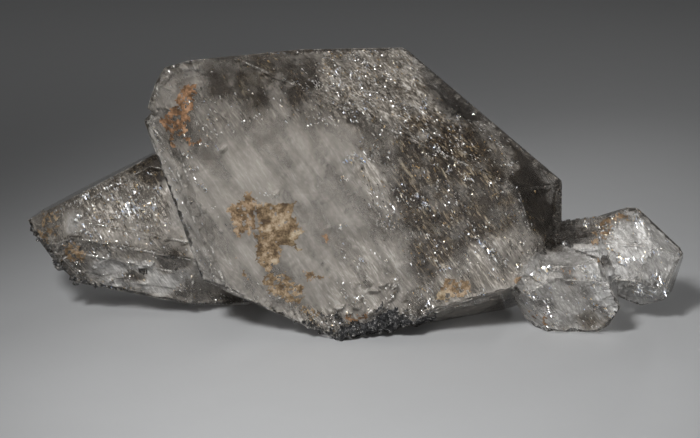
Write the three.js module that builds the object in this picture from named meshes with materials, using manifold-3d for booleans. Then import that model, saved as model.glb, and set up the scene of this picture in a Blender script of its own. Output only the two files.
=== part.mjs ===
// A Herkimer diamond: five quartz crystals grown through one another, each pointed at both
// ends. A large tabular one stands in the middle, a long one leans against its back left, and
// three small ones are grown to its right end. They are one body of rock crystal, with growth
// layers on the faces, a rough crust under the large one and a broken tip on the left one.
// Millimetres, +Z up. The cluster stands on the flats worn on its lowest corners.

import * as THREE from 'three';
import { mergeVertices } from 'three/addons/utils/BufferGeometryUtils.js';
import Module from 'manifold-3d';

// Quartz grows at fixed angles. Six prism faces stand round the c axis, 60 degrees apart, and
// six end faces close each end, their normals leaning this far from the axis.
const END_FACE_LEAN = 51.79;
const FACE_STEP = 60;

// A face is named by its set and its number in the set, such as PRISM + 5.
const PRISM = 0;
const AHEAD = 6;
const BEHIND = 12;

// Height of the floor in the frame that the crystals' places are measured in.
const FLOOR = -22.6;

// Each crystal has its centre, the direction of its c axis as a turn about Z and a rise above
// level, the roll of its first prism face about that axis, and the distance of each face from
// the centre. Uneven distances make the uneven crystals that nature grows. Odd faces are those
// that a neighbour or a scar forced on it. A layer is a face, the height of its step and how
// far its rim stays inside the face. Pits are a face and how many three-sided growth pits it has.
const MAIN = {
  centre: [-6.9, 1.8, 6.7],
  turn: 179.9, rise: -16.7, roll: 57.3,
  prism: [35.5, 23, 29.5, 46, 30.5, 12],
  ahead: [39.5, 30, 21, 20.5, 26.5, 23],
  behind: [22.5, 33, 26, 51, 43.9, 33.2],
  odd: [
    { normal: [-0.95, 0.1, -0.3], distance: 25.6 },
    { normal: [-0.1, 0.16, 0.98], distance: 27 },
    { normal: [1, 0, 0], distance: 48.8 },
  ],
  layers: [
    [AHEAD + 5, 0.2, 1.2], [AHEAD + 5, 0.4, 2.4], [AHEAD + 5, 0.6, 3.6],
    [PRISM + 4, 0.2, 1.4], [AHEAD + 4, 0.2, 1.4],
    [AHEAD + 2, 0.3, 5], [BEHIND + 2, 0.3, 5], [PRISM + 1, 0.3, 4], [AHEAD + 3, 0.3, 4],
  ],
  pits: [[PRISM + 5, 5], [BEHIND + 0, 4], [AHEAD + 2, 5], [BEHIND + 2, 5]],
};
const LEFT = {
  centre: [-41, 17, -5.8],
  turn: 176.7, rise: 10.5, roll: -24,
  prism: [15.3, 12.7, 15.8, 12.6, 13.9, 13.1],
  ahead: [22.7, 18.7, 13.4, 20.6, 21.5, 18],
  behind: [19, 26, 26, 26, 26, 26],
  layers: [
    [PRISM + 1, 0.2, 1.6], [PRISM + 0, 0.2, 1.8], [PRISM + 3, 0.3, 2.5], [PRISM + 4, 0.3, 2.5],
  ],
  pits: [[PRISM + 1, 3], [PRISM + 0, 3]],
};
const LOWER_RIGHT = {
  centre: [43, -3.6, -13.3],
  turn: 130, rise: 2.3, roll: -35.6,
  prism: [7.6, 8.9, 7.4, 6.4, 8.9, 8.7],
  ahead: [10.1, 8.4, 11.4, 9.6, 7.9, 9.7],
  behind: [5.2, 9, 9.7, 8.9, 10.5, 10.6],
  layers: [[AHEAD + 1, 0.2, 1.5]],
};
const FAR_RIGHT = {
  centre: [57.7, 4.7, -9.4],
  turn: 31.4, rise: -25.8, roll: 123.4,
  prism: [7.8, 8.6, 7.5, 7.2, 10.3, 8.8],
  ahead: [9.6, 9.1, 10.5, 10.3, 9, 5.2],
  behind: [8.4, 9.1, 10.3, 5.5, 10, 10],
  layers: [[PRISM + 2, 0.2, 1.5]],
};
const NECK = {
  centre: [46, 5.5, -8],
  turn: 2, rise: 6, roll: 12,
  prism: [5.4, 6, 5.2, 5.6, 6.2, 5.4],
  ahead: [11, 11, 11, 11, 11, 11],
  behind: [12, 12, 12, 12, 12, 12],
};

// Growth lines round the neck, across its c axis.
const NECK_LINE_STEP = 0.25;
const NECK_LINE_WIDTH = 0.8;
const NECK_LINE_PLACES = [-4.5, -2.6, -0.9, 1, 2.7, 4.4];

// Rough crusts of knobs, each on one face of a crystal, round a place and out to a reach.
const CRUSTS = [
  { crystal: MAIN, face: PRISM + 4, place: [4, -6, -21.5], reach: 12, knobs: 44, size: 1.6 },
  { crystal: MAIN, face: PRISM + 4, place: [6, -6, -21.5], reach: 8, knobs: 14, size: 2.5 },
  { crystal: MAIN, face: PRISM + 5, place: [5, -10, -19], reach: 9, knobs: 34, size: 1.3 },
  { crystal: MAIN, face: BEHIND + 0, place: [23.5, 2.5, 20], reach: 4.5, knobs: 12, size: 0.9 },
  { crystal: MAIN, face: AHEAD + 4, place: [-9, -9, -18], reach: 9, knobs: 10, size: 1.1 },
  { crystal: LEFT, face: AHEAD + 0, place: [-61, 5, -9], reach: 8, knobs: 16, size: 1 },
  { crystal: LEFT, face: PRISM + 0, place: [-55, 5, -12], reach: 7, knobs: 14, size: 1 },
  { crystal: LEFT, face: AHEAD + 1, place: [-63, 9, -3], reach: 5, knobs: 8, size: 0.8 },
];
const KNOB_SHARE = 0.45; // the smallest knob is this share of the largest
const KNOB_JITTER = 0.22; // how far a knob's corners wander, as a share of its size
const KNOB_SINK = 0.45; // how deep a knob sits, as a share of its size

// Chips broken from edges and tips: the place and the size of what is gone.
const CHIPS = [
  { place: [-68.8, 12.5, 1.5], size: 3.4 },
  { place: [-57.5, 8.5, 5.4], size: 3 },
  { place: [-63.5, 3.5, -6], size: 2.6 },
  { place: [-49, 12, 10.5], size: 2.6 },
  { place: [-60, 3, -16], size: 2.4 },
  { place: [-24.5, -13, 36.5], size: 2.8 },
  { place: [-40, -8.5, 23], size: 2.6 },
  { place: [43.5, -6.5, 4], size: 2.2 },
  { place: [33.5, -14.5, 11], size: 2.2 },
  { place: [15.5, 10.5, 30.5], size: 2.2 },
  { place: [61, -4, -12], size: 1.4 },
  { place: [36.5, -9.5, -7.2], size: 1.4 },
];

// Scars where a shallow shell-shaped splinter broke off a face: the place, the radius that the
// break is curved to, and how deep it bites.
const SCARS = [
  { crystal: MAIN, face: PRISM + 5, place: [-29, -11, 31], radius: 9, bite: 0.9 },
  { crystal: MAIN, face: AHEAD + 5, place: [-34, -9, 22], radius: 8, bite: 0.9 },
  { crystal: MAIN, face: AHEAD + 5, place: [-27, -10, 4], radius: 10, bite: 0.7 },
  { crystal: MAIN, face: AHEAD + 0, place: [-33, -6, 33], radius: 7, bite: 1 },
  { crystal: MAIN, face: PRISM + 5, place: [-14, -10, -16], radius: 8, bite: 0.8 },
  { crystal: MAIN, face: PRISM + 4, place: [26, -6, -17], radius: 8, bite: 0.8 },
  { crystal: MAIN, face: BEHIND + 0, place: [30, -4, 15], radius: 9, bite: 0.9 },
  { crystal: MAIN, face: BEHIND + 0, place: [4, -3, 28], radius: 10, bite: 0.9 },
  { crystal: MAIN, face: BEHIND + 2, place: [20, 16, 12], radius: 10, bite: 1 },
  { crystal: MAIN, face: AHEAD + 2, place: [-20, 14, 22], radius: 10, bite: 1 },
  { crystal: LEFT, face: PRISM + 1, place: [-56, 8, 3], radius: 6, bite: 0.8 },
  { crystal: LEFT, face: PRISM + 0, place: [-47, 5, -11], radius: 6, bite: 0.8 },
  { crystal: LEFT, face: PRISM + 4, place: [-50, 26, -10], radius: 7, bite: 0.9 },
  { crystal: LOWER_RIGHT, face: BEHIND + 0, place: [46, -10, -10], radius: 4, bite: 0.5 },
  { crystal: FAR_RIGHT, face: BEHIND + 1, place: [60, -2, -5], radius: 4, bite: 0.4 },
];

const PIT_RADIUS = 1.3;
const PIT_DEPTH = 0.6;

const wasm = await Module();
wasm.setup();

const radians = THREE.MathUtils.degToRad;

// Random numbers from 0 to 1 that come out the same each time.
function seededRandom(seed) {
  let state = seed;
  return () => {
    state = (state * 16807) % 2147483647;
    return state / 2147483647;
  };
}
const random = seededRandom(20531);

// A three.js geometry with its corners shared, so that it is closed.
function closedGeometry(geometry) {
  geometry.deleteAttribute('normal');
  geometry.deleteAttribute('uv');
  return mergeVertices(geometry);
}

// A closed geometry as a solid that can be joined and cut.
function solidOf(geometry) {
  return new wasm.Manifold(new wasm.Mesh({
    numProp: 3,
    vertProperties: geometry.getAttribute('position').array,
    triVerts: new Uint32Array(geometry.index.array),
  }));
}

function joined(solids) {
  return solids.reduce((whole, next) => whole.add(next));
}

function axisOf({ turn, rise }) {
  return new THREE.Vector3(
    Math.cos(radians(rise)) * Math.cos(radians(turn)),
    Math.cos(radians(rise)) * Math.sin(radians(turn)),
    Math.sin(radians(rise)),
  );
}

// The outward normals of a crystal's 18 faces, in the order prism, ahead, behind.
function faceNormals(crystal) {
  const axis = axisOf(crystal);
  const side = new THREE.Vector3(0, 0, 1).cross(axis).normalize();
  const up = axis.clone().cross(side);
  const around = (k) => {
    const angle = radians(crystal.roll + k * FACE_STEP);
    return side.clone().multiplyScalar(Math.cos(angle)).addScaledVector(up, Math.sin(angle));
  };
  const leaning = (k, sign) => around(k)
    .multiplyScalar(Math.sin(radians(END_FACE_LEAN)))
    .addScaledVector(axis, sign * Math.cos(radians(END_FACE_LEAN)));
  const six = [0, 1, 2, 3, 4, 5];
  return [...six.map(around), ...six.map((k) => leaning(k, 1)), ...six.map((k) => leaning(k, -1))];
}

// All of a crystal's faces: their normals and their distances from its centre.
function facesOf(crystal) {
  const distances = [...crystal.prism, ...crystal.ahead, ...crystal.behind];
  const grown = faceNormals(crystal).map((normal, k) => ({ normal, distance: distances[k] }));
  const odd = (crystal.odd ?? []).map(({ normal, distance }) => (
    { normal: new THREE.Vector3(...normal).normalize(), distance }));
  return [...grown, ...odd];
}

// The solid inside a set of faces: a block cut back by each of them in turn.
function enclosed(faces, centre) {
  const middle = new THREE.Vector3(...centre);
  const size = 5 * Math.max(...faces.map(({ distance }) => distance));
  const block = new THREE.BoxGeometry(size, size, size).translate(...centre);
  return faces.reduce(
    (solid, { normal, distance }) => solid.trimByPlane(
      normal.clone().negate().toArray(), -(distance + normal.dot(middle))),
    solidOf(closedGeometry(block)),
  );
}

// A growth layer: one face raised by a step, and every other face drawn in unevenly, so that
// a thin plate with edges parallel to the crystal's stands on the face.
function growthLayer(crystal, [face, step, inset]) {
  const faces = facesOf(crystal).map(({ normal, distance }, k) => ({
    normal,
    distance: k === face ? distance + step : distance - inset * (0.1 + 1.8 * random()),
  }));
  return enclosed(faces, crystal.centre);
}

// One crystal with its growth layers and its pits.
function crystalSolid(crystal) {
  const layers = (crystal.layers ?? []).map((layer) => growthLayer(crystal, layer));
  const pits = (crystal.pits ?? []).flatMap(([face, count]) => growthPits(crystal, face, count));
  const grown = joined([enclosed(facesOf(crystal), crystal.centre), ...layers]);
  return pits.length ? grown.subtract(joined(pits)) : grown;
}

// Growth lines: slices of a slightly thicker prism, set along the c axis.
function growthLines(crystal, places) {
  const axis = axisOf(crystal);
  const centre = new THREE.Vector3(...crystal.centre);
  const along = axis.dot(centre);
  const thicker = enclosed(facesOf(crystal).map(({ normal, distance }, k) => (
    { normal, distance: k < AHEAD ? distance + NECK_LINE_STEP : distance })), crystal.centre);
  return places.map((place) => thicker
    .trimByPlane(axis.toArray(), along + place - NECK_LINE_WIDTH / 2)
    .trimByPlane(axis.clone().negate().toArray(), -(along + place + NECK_LINE_WIDTH / 2)));
}

// A random point on one face, inside its rim by a margin and within reach of a place.
function pointOnFace(crystal, face, margin, place, reach) {
  const faces = facesOf(crystal);
  const { normal, distance } = faces[face];
  const centre = new THREE.Vector3(...crystal.centre);
  const aim = new THREE.Vector3(...place);
  const across = new THREE.Vector3(0.3, 0.5, 0.8).cross(normal).normalize();
  const along = normal.clone().cross(across);
  const foot = aim.clone().addScaledVector(
    normal, distance - normal.dot(aim.clone().sub(centre)));
  for (let tries = 0; tries < 400; tries += 1) {
    const point = foot.clone()
      .addScaledVector(across, (2 * random() - 1) * reach)
      .addScaledVector(along, (2 * random() - 1) * reach);
    const inside = faces.every((other, k) => (
      k === face || other.normal.dot(point.clone().sub(centre)) < other.distance - margin));
    if (inside && point.distanceTo(aim) < reach) return point;
  }
  return null;
}

// An uneven lump of rock, with 20 flat sides or, at detail 1, with 80.
function lump(place, size, detail = 0) {
  const geometry = closedGeometry(new THREE.IcosahedronGeometry(size, detail));
  const corners = geometry.getAttribute('position');
  for (let k = 0; k < corners.count; k += 1) {
    const wander = () => (2 * random() - 1) * KNOB_JITTER * size / (1 + 4 * detail);
    corners.setXYZ(k, corners.getX(k) + wander(), corners.getY(k) + wander(),
      corners.getZ(k) + wander());
  }
  geometry.translate(place.x, place.y, place.z);
  return solidOf(geometry);
}

// The knobs of a crust, half sunk in their face.
function crustKnobs({ crystal, face, place, reach, knobs, size }) {
  const { normal } = facesOf(crystal)[face];
  const points = Array.from({ length: knobs }, () => pointOnFace(crystal, face, -0.6, place, reach));
  return points.filter(Boolean).map((point) => {
    const across = size * (KNOB_SHARE + (1 - KNOB_SHARE) * random());
    return lump(point.addScaledVector(normal, -KNOB_SINK * across), across);
  });
}

// Growth pits: three-sided cones whose points are sunk in the face.
function growthPits(crystal, face, count) {
  const { normal } = facesOf(crystal)[face];
  const turn = new THREE.Quaternion().setFromUnitVectors(
    new THREE.Vector3(0, -1, 0), normal.clone().negate());
  const points = Array.from({ length: count }, () => (
    pointOnFace(crystal, face, 4, crystal.centre, 4 * Math.max(...crystal.prism))));
  return points.filter(Boolean).map((point) => {
    const radius = PIT_RADIUS * (0.6 + 0.6 * random());
    const cone = new THREE.ConeGeometry(radius, PIT_DEPTH, 3).rotateX(Math.PI);
    cone.applyQuaternion(turn).translate(point.x, point.y, point.z);
    return solidOf(closedGeometry(cone));
  });
}

// The lump that a scar is the print of, most of it outside the face.
function scarLump({ crystal, face, place, radius, bite }) {
  const { normal, distance } = facesOf(crystal)[face];
  const aim = new THREE.Vector3(...place);
  const height = normal.dot(aim.clone().sub(new THREE.Vector3(...crystal.centre))) - distance;
  return lump(aim.addScaledVector(normal, radius - bite - height), radius, 1);
}

let cluster = joined([MAIN, LEFT, LOWER_RIGHT, FAR_RIGHT, NECK].map(crystalSolid));
cluster = joined([cluster, ...growthLines(NECK, NECK_LINE_PLACES), ...CRUSTS.flatMap(crustKnobs)]);
const chips = CHIPS.map(({ place, size }) => lump(new THREE.Vector3(...place), size));
cluster = cluster.subtract(joined([...chips, ...SCARS.map(scarLump)])).trimByPlane([0, 0, 1], FLOOR);

// Crumbs that a chip cut loose are gone too.
const [whole] = cluster.decompose().sort((a, b) => b.volume() - a.volume());

// The finished solid as a three.js mesh, standing on z = 0 with its box centred on the origin.
function standingMesh(solid, name, material) {
  const { vertProperties, triVerts } = solid.getMesh();
  const geometry = new THREE.BufferGeometry();
  geometry.setAttribute('position', new THREE.BufferAttribute(vertProperties, 3));
  geometry.setIndex(new THREE.BufferAttribute(triVerts, 1));
  geometry.computeBoundingBox();
  const { min, max } = geometry.boundingBox;
  geometry.translate(-(min.x + max.x) / 2, -(min.y + max.y) / 2, -min.z);
  geometry.computeVertexNormals();
  const mesh = new THREE.Mesh(geometry, material);
  mesh.name = name;
  return mesh;
}

const rockCrystal = new THREE.MeshStandardMaterial({
  color: '#a49f97', roughness: 0.12, metalness: 0, flatShading: true,
});

const group = new THREE.Group();
group.add(standingMesh(whole, 'crystal_cluster', rockCrystal));

export default group;
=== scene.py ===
"""A Herkimer diamond: smoky quartz crystals grown through one another, full of healed cracks.

The clear rock stands for the solid. Inside it lie milky veils, silvery flakes, bright glints and
smoky specks. Its sharp edges are chipped, with a white that is partly painted highlight, and on
it lie films of rusty clay and a black crust.
"""

import math
import random

import bmesh
import bpy
import numpy as np
from bpy.props import FloatProperty, FloatVectorProperty, IntProperty, PointerProperty
from bpy.types import Operator, Panel, PropertyGroup
from mathutils import Euler, Matrix, Vector, noise
from mathutils.bvhtree import BVHTree


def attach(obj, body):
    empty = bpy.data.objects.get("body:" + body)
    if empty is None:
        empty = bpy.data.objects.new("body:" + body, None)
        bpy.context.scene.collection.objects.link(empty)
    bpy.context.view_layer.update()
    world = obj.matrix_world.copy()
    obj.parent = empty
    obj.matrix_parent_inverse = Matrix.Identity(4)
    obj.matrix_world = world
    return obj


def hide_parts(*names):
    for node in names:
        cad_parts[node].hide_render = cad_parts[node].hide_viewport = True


bl_info = {
    "name": "Herkimer Diamond",
    "version": (1, 0, 0),
    "blender": (4, 5, 0),
    "location": "View3D > Sidebar > Crystal",
    "description": "Dresses a smoky, fractured quartz cluster with its cracks, clay and crust",
    "category": "Object",
}

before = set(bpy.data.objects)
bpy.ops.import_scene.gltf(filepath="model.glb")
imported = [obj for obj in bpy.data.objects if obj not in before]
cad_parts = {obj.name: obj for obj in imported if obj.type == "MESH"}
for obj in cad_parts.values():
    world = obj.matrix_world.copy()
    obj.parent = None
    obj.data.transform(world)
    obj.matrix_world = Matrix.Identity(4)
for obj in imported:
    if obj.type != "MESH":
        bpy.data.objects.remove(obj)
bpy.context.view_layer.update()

MM = 0.001
SOLID = "crystal_cluster"
BODY = "root"

# The cracks run down and to the right in the large crystal. This is their turn about Y.
CRACK_RUN = math.radians(56)
RUN = (math.cos(CRACK_RUN), 0, -math.sin(CRACK_RUN))
TO_RUN = Matrix.Rotation(-CRACK_RUN, 3, "Y")

# What the cracks hold where no zone says otherwise: how dense their veils are, from 0 to 1, the
# veils' tone, from pale at -1 through grey at 0 to smoky brown at 1 and above, and how crowded
# silvery flakes and smoky specks are on them, from 0 to 1.
PLAIN_FRONT = {"veil": 0.65, "tone": 0.3, "silver": 0.09, "smoke": 0.12}
PLAIN_BACK = {"veil": 0.4, "tone": -0.4, "silver": 0.12, "smoke": 0.1}

# Zones of the rock on a front view: what the cracks in each hold, in the order above, the width
# in mm of the rim over which it passes into what is round it, and its outline. An outline has x
# and z of its corners by turns, in mm. A later zone covers an earlier one.
ZONES = {
    "milky heart": (1.0, 0.0, 0.015, 0.0, 2.4, (
        -36, 36, -24, 41, -19, 44, -4, 45, 9, 44, 8, 29, 11, 19, 13, 11, 5, 4, -7, 5, -18, 12,
        -23, 17, -29, 26)),
    "streaky belt": (0.95, 0.0, 0.045, 0.03, 2.4, (
        -40, 42, -36, 36, -29, 26, -23, 17, -18, 12, -7, 5, -8, 1, -24, 2, -31, 9, -38, 24)),
    "frosted corner": (0.85, 0.15, 0.03, 0.0, 2.4, (
        -42, 46, -36, 58, -28, 58, -30, 51, -36, 43)),
    "smoky band": (0.8, 0.8, 0.06, 0.3, 2.4, (
        -28, 58, -5, 58, -6, 50, -10, 47, -20, 47, -28, 49)),
    "grey shoulder": (0.9, 0.25, 0.09, 0.05, 2.4, (
        -31, 48, -20, 47, -10, 47, -4, 45, -19, 44, -24, 41, -34, 38)),
    "silver crown": (0.9, 0.15, 0.33, 0.4, 2.4, (
        -5, 58, 8, 58, 13, 52, 19, 43, 23, 32, 17, 31, 9, 44, -4, 45, -6, 50)),
    "mixed middle": (0.95, 0.15, 0.15, 0.25, 2.4, (
        1, 44, 9, 44, 8, 29, 10, 20, 5, 22, 2, 30, 0, 38)),
    "brown side": (0.9, 0.95, 0.18, 0.6, 2.4, (
        9, 44, 17, 44, 25, 41, 30, 35, 32, 28, 33, 19, 29, 11, 19, 8, 13, 11, 11, 19, 8, 29)),
    "brown window": (0.95, 0.85, 0.0, 0.05, 0.4, (
        12, 57, 13.1, 52.1, 15.4, 48.9, 16.7, 46.1, 18.5, 43.3, 21.8, 43.3, 25, 42.2, 24, 50, 18,
        57)),
    # Painted shade: this near-black veil stands for the dark room seen through the clear rock.
    "painted shade window": (1.0, 2.6, 0.0, 0.0, 0.4, (
        16.5, 49.6, 19.8, 45.9, 21.9, 43.5, 23.8, 42.5, 27, 41.4, 33, 44, 20, 56)),
    # Smoky rock, darkened further with painted shade for the dark room seen through it.
    "smoky edge with painted shade": (0.9, 1.8, 0.04, 0.2, 1.2, (
        27, 42, 30, 38.2, 33, 34, 35, 30, 44, 27, 46, 34, 32, 43)),
    # Smoky rock, darkened further with painted shade for the dark room seen through it.
    "smoky tip with painted shade": (0.95, 2.6, 0.02, 0.1, 1.2, (
        31.8, 33, 32.8, 28, 35.6, 23, 38.7, 18, 46, 18, 46, 32, 36, 37)),
    "pale glade": (1.0, 0.0, 0.09, 0.05, 2.4, (
        -2, 22, 10, 21, 13, 11, 5, 4, -5, 5)),
    "feathery foot": (0.95, 0.25, 0.2, 0.1, 2.4, (
        20, 18, 33, 24, 34, 15, 28, 8, 18, 6, 13, 9)),
    "lower right facet": (1.0, 0.0, 0.08, 0.03, 1, (
        14, 3, 18.7, 8.2, 23, 8.5, 28.9, 11.4, 31.6, 13, 34, 9, 32.7, 7.5, 26.2, 1.1, 14, 0)),
    "gritty foot": (0.9, 0.1, 0.35, 0.3, 1, (
        -13.5, 6.3, -10.5, 7.5, -5.5, 5.6, -1.6, 5, -2.6, 2.2, -9.5, 3.5)),
    "pale left edge": (1.0, -0.15, 0.05, 0.02, 2.4, (
        -43, 46, -38.5, 46, -35, 36, -33, 26, -27, 14, -20, 7, -22, 2, -32, 6, -42, 30)),
    "left sparkle": (0.85, 0.3, 0.26, 0.12, 2.4, (
        -58, 23, -54, 27, -44, 31, -41, 32, -38, 27, -38, 21, -45, 20, -52, 22)),
    "left belly": (0.95, 0.1, 0.14, 0.12, 2.4, (
        -58, 23, -52, 22, -38, 21, -33, 12, -39, 5, -50, 7, -57, 11)),
    "left keel": (1.0, -0.7, 0.14, 0.1, 1.5, (
        -52, 13.5, -46, 13, -34, 12.5, -33, 9, -39, 4, -50, 6, -55, 9)),
    "left top": (0.9, 1.3, 0.07, 0.3, 1, (
        -47, 30.2, -44.7, 34, -38, 35, -38, 29, -41, 28, -44.1, 29.5)),
    "left lens": (0.9, 0.6, 0.04, 0.2, 1, (
        -40, 13.3, -38.6, 17.7, -36.6, 19, -34.6, 18.3, -32.5, 14.9, -33, 12.1, -35.4, 11.5, -38,
        9.9, -39.7, 10.7)),
    "left smear": (0.9, 0.8, 0.13, 0.3, 1.2, (
        -48.1, 9.5, -45.4, 10.7, -42.4, 9.9, -42.9, 8, -46.8, 7.2)),
    "left tip": (0.85, 0.2, 0.13, 0.5, 2.4, (
        -66, 19, -58, 23, -56, 18, -54, 13, -55, 8, -60, 10, -66, 14)),
    "left pale patch": (1.0, -0.4, 0.0, 0.0, 1, (
        -58.1, 19, -58, 22, -56.3, 23.4, -55.2, 21.4, -56.3, 17.7)),
    "lower right crystal": (0.78, -0.6, 0.14, 0.12, 2.4, (
        33, 14, 36, 16, 51, 17, 52, 6, 48, 0, 36, 0, 32, 8)),
    "smooth top facet": (1.0, -0.45, 0.0, 0.0, 1, (
        33, 13, 36.5, 17.5, 44, 18, 50, 17, 44, 14.5, 37, 11.5)),
    "dark foot": (0.8, 0.7, 0.13, 0.6, 1, (
        44.1, 4.1, 46.9, 5.7, 49.2, 2.5, 47, 0)),
    "far right crystal": (0.9, -0.8, 0.12, 0.06, 2.4, (
        49, 18, 57, 24, 67, 18, 66, 6, 56, 3, 51, 8)),
    # Painted light: the pale veil here stands for the light that the paper throws up onto the
    # downward facets.
    "far right underside, painted bounce light": (1.0, -1.0, 0.04, 0.0, 1, (
        46, 16.5, 51.5, 17, 53.5, 12, 56, 8.5, 63, 5.5, 63, 3, 58, 1.5, 52, 5.5, 48, 8.5, 46,
        12.5)),
}
KINDS = list(PLAIN_FRONT)
RIM_WANDER = 1.1  # how far in mm the zones' rims wander
RIM_BENDS = 4  # and the size of their bends in mm
WANDER_SEED = 7

# Glints: lines along which bright flakes crowd, on a front view: x and z of both ends, a half
# width and the flakes' largest half length, all in mm.
GLINTS = [
    (-27.8, 44.3, -26.5, 42.7, 1.3, 0.5), (-28.7, 40.8, -25.1, 39.8, 0.7, 0.6),
    (-38.1, 38.6, -35.5, 33.4, 0.6, 0.5), (-32.0, 39.2, -29.1, 31.2, 0.9, 0.5),
    (-26.9, 28.2, -26.4, 26.0, 0.7, 0.4), (-0.6, 37.5, 2.1, 37.7, 1.2, 0.8),
    (-2.9, 39.1, -2.1, 37.5, 0.8, 0.5), (4.6, 39.5, 6.3, 38.7, 0.7, 0.6),
    (-2.5, 33.3, 2.1, 32.7, 0.7, 0.5), (5.4, 27.7, 8.1, 27.3, 0.5, 0.8),
    (3.3, 28.3, 3.8, 26.3, 0.5, 0.5), (-3.1, 24.5, -2.0, 23.6, 0.5, 0.8),
    (-18.8, 30.0, -14.1, 29.8, 0.6, 0.4), (-10.1, 52.5, -7.1, 51.2, 1.2, 0.4),
    (-3.7, 51.7, -2.2, 50.9, 1.0, 0.5), (-7.6, 47.6, -6.7, 46.6, 0.9, 0.4),
    (-6.7, 45.0, -3.3, 44.2, 1.0, 0.4), (-0.2, 54.6, 3.7, 53.1, 0.8, 0.5),
    (20.7, 42.0, 21.2, 38.0, 0.8, 0.5), (24.5, 36.0, 31.6, 35.0, 0.7, 0.5),
    (31.5, 29.4, 32.2, 26.6, 0.5, 0.6), (8.6, 31.1, 9.8, 28.3, 1.0, 0.6),
    (19.0, 35.5, 22.1, 33.1, 1.4, 0.5), (18.7, 30.3, 19.7, 28.6, 0.7, 0.5),
    (14.0, 46.4, 14.9, 41.6, 0.9, 0.6), (16.0, 40.4, 18.2, 37.1, 0.8, 0.6),
    (9.9, 45.2, 13.8, 44.1, 0.9, 0.5), (18.5, 43.3, 21.2, 42.8, 0.6, 0.5),
    (21.2, 42.8, 27.3, 41.1, 0.35, 0.4), (18.2, 24.2, 22.6, 20.7, 0.4, 1.2),
    (12.5, 29.5, 15.7, 25.8, 0.9, 0.8), (14.6, 22.2, 15.8, 19.3, 0.8, 0.6),
    (16.2, 15.6, 19.4, 13.9, 1.0, 0.6), (14.6, 7.7, 15.2, 5.4, 0.6, 0.9),
    (-2.0, 10.6, -0.2, 8.5, 1.1, 0.6), (1.3, 17.5, 2.5, 16.0, 0.8, 0.6),
    (31.9, 17.2, 32.7, 15.5, 0.5, 0.7), (25.1, 20.3, 29.2, 15.5, 1.2, 1.0),
    (-52.6, 26.9, -39.0, 27.2, 0.7, 0.6), (-54.3, 25.6, -38.9, 24.9, 0.9, 0.8),
    (-45.3, 23.4, -43.0, 22.5, 1.3, 1.2), (-52.0, 21.0, -39.7, 23.7, 0.8, 0.7),
    (-56.1, 21.6, -54.8, 20.7, 0.8, 1.0), (-54.8, 20.3, -46.6, 16.3, 0.8, 0.8),
    (-38.3, 20.8, -37.0, 19.4, 0.8, 0.6), (-53.3, 14.8, -52.2, 13.7, 0.6, 0.6),
    (-35.6, 12.5, -34.3, 11.0, 0.6, 0.5), (-39.3, 9.9, -37.7, 8.7, 0.5, 0.4),
    (-61.6, 22.0, -59.6, 22.7, 0.5, 0.8), (-64.1, 16.7, -62.8, 15.3, 0.5, 0.8),
    (35.4, 13.1, 38.8, 15.4, 0.7, 1.2), (42.9, 16.3, 46.5, 14.6, 1.2, 0.7),
    (47.0, 11.7, 48.8, 12.8, 0.5, 0.9), (34.9, 9.2, 38.2, 7.3, 1.0, 0.6),
    (38.1, 5.3, 41.3, 2.9, 1.0, 0.6), (46.6, 8.7, 51.3, 4.9, 0.6, 0.8),
    (57.5, 22.0, 59.4, 20.7, 0.7, 1.0), (50.7, 18.2, 54.3, 14.8, 0.9, 0.9),
    (55.5, 14.9, 61.1, 17.1, 0.9, 0.8), (56.3, 9.5, 59.9, 6.1, 1.0, 1.1),
    (60.6, 11.2, 64.2, 6.5, 1.0, 0.9), (48.0, 20.8, 51.9, 20.3, 1.2, 0.6),
    (-38.6, 46.5, -37.6, 40.0, 0.5, 0.5), (-37.4, 39.0, -34.6, 33.0, 0.5, 0.6),
    (-34.2, 31.0, -32.6, 24.0, 0.5, 0.5), (-38.6, 48.0, -35.0, 54.5, 0.4, 0.5),
    (57.4, 8.2, 59.6, 7.2, 0.8, 1.8), (61.8, 10.5, 63.6, 8, 0.7, 1.6),
    (51.2, 17.4, 54.0, 14.6, 0.6, 1.6), (36.4, 13.4, 39.5, 15.2, 0.4, 1.8),
]
GLINT_DEPTH = 0.45  # how deep in mm the glints lie under the faces
GLINT_COVER = 0.6  # how much of the lines they cover
GLINT_TOWARDS = (-48, -300, 174)  # the place in mm that they face

# How deep the beds of cracks lie under the faces, in mm.
DEPTHS = {"veil": (0.9, 2.8), "silver": (0.4, 0.7, 1.8), "smoke": (0.5, 1.4)}
LEAST_SHARE = 0.04  # cracks thinner than this are left out
THREADS = 3.5  # how thready a veil is for its share of silver
BED_WAVES = (5, 0.7)  # the size of a bed's waves in mm, and their height as a share of its depth
# A bed lies at its full depth where the rounded net under it turns little from the rock's face,
# and rises over this range of the turn's cosine. It ends at the skin times the first share, and
# is left out above the second.
FLAT_FROM, FLAT_RANGE = 0.8, 0.18
EDGE_SKINS, LEAST_SKINS = 1.2, 0.2

# The clouds that each kind comes in: their size in mm, their middle and their contrast.
CLOUDS = {"veil": (3.5, 0.75, 0.7), "silver": (1.8, 0.25, 2.4), "smoke": (1.6, 0.25, 2.0)}

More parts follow.
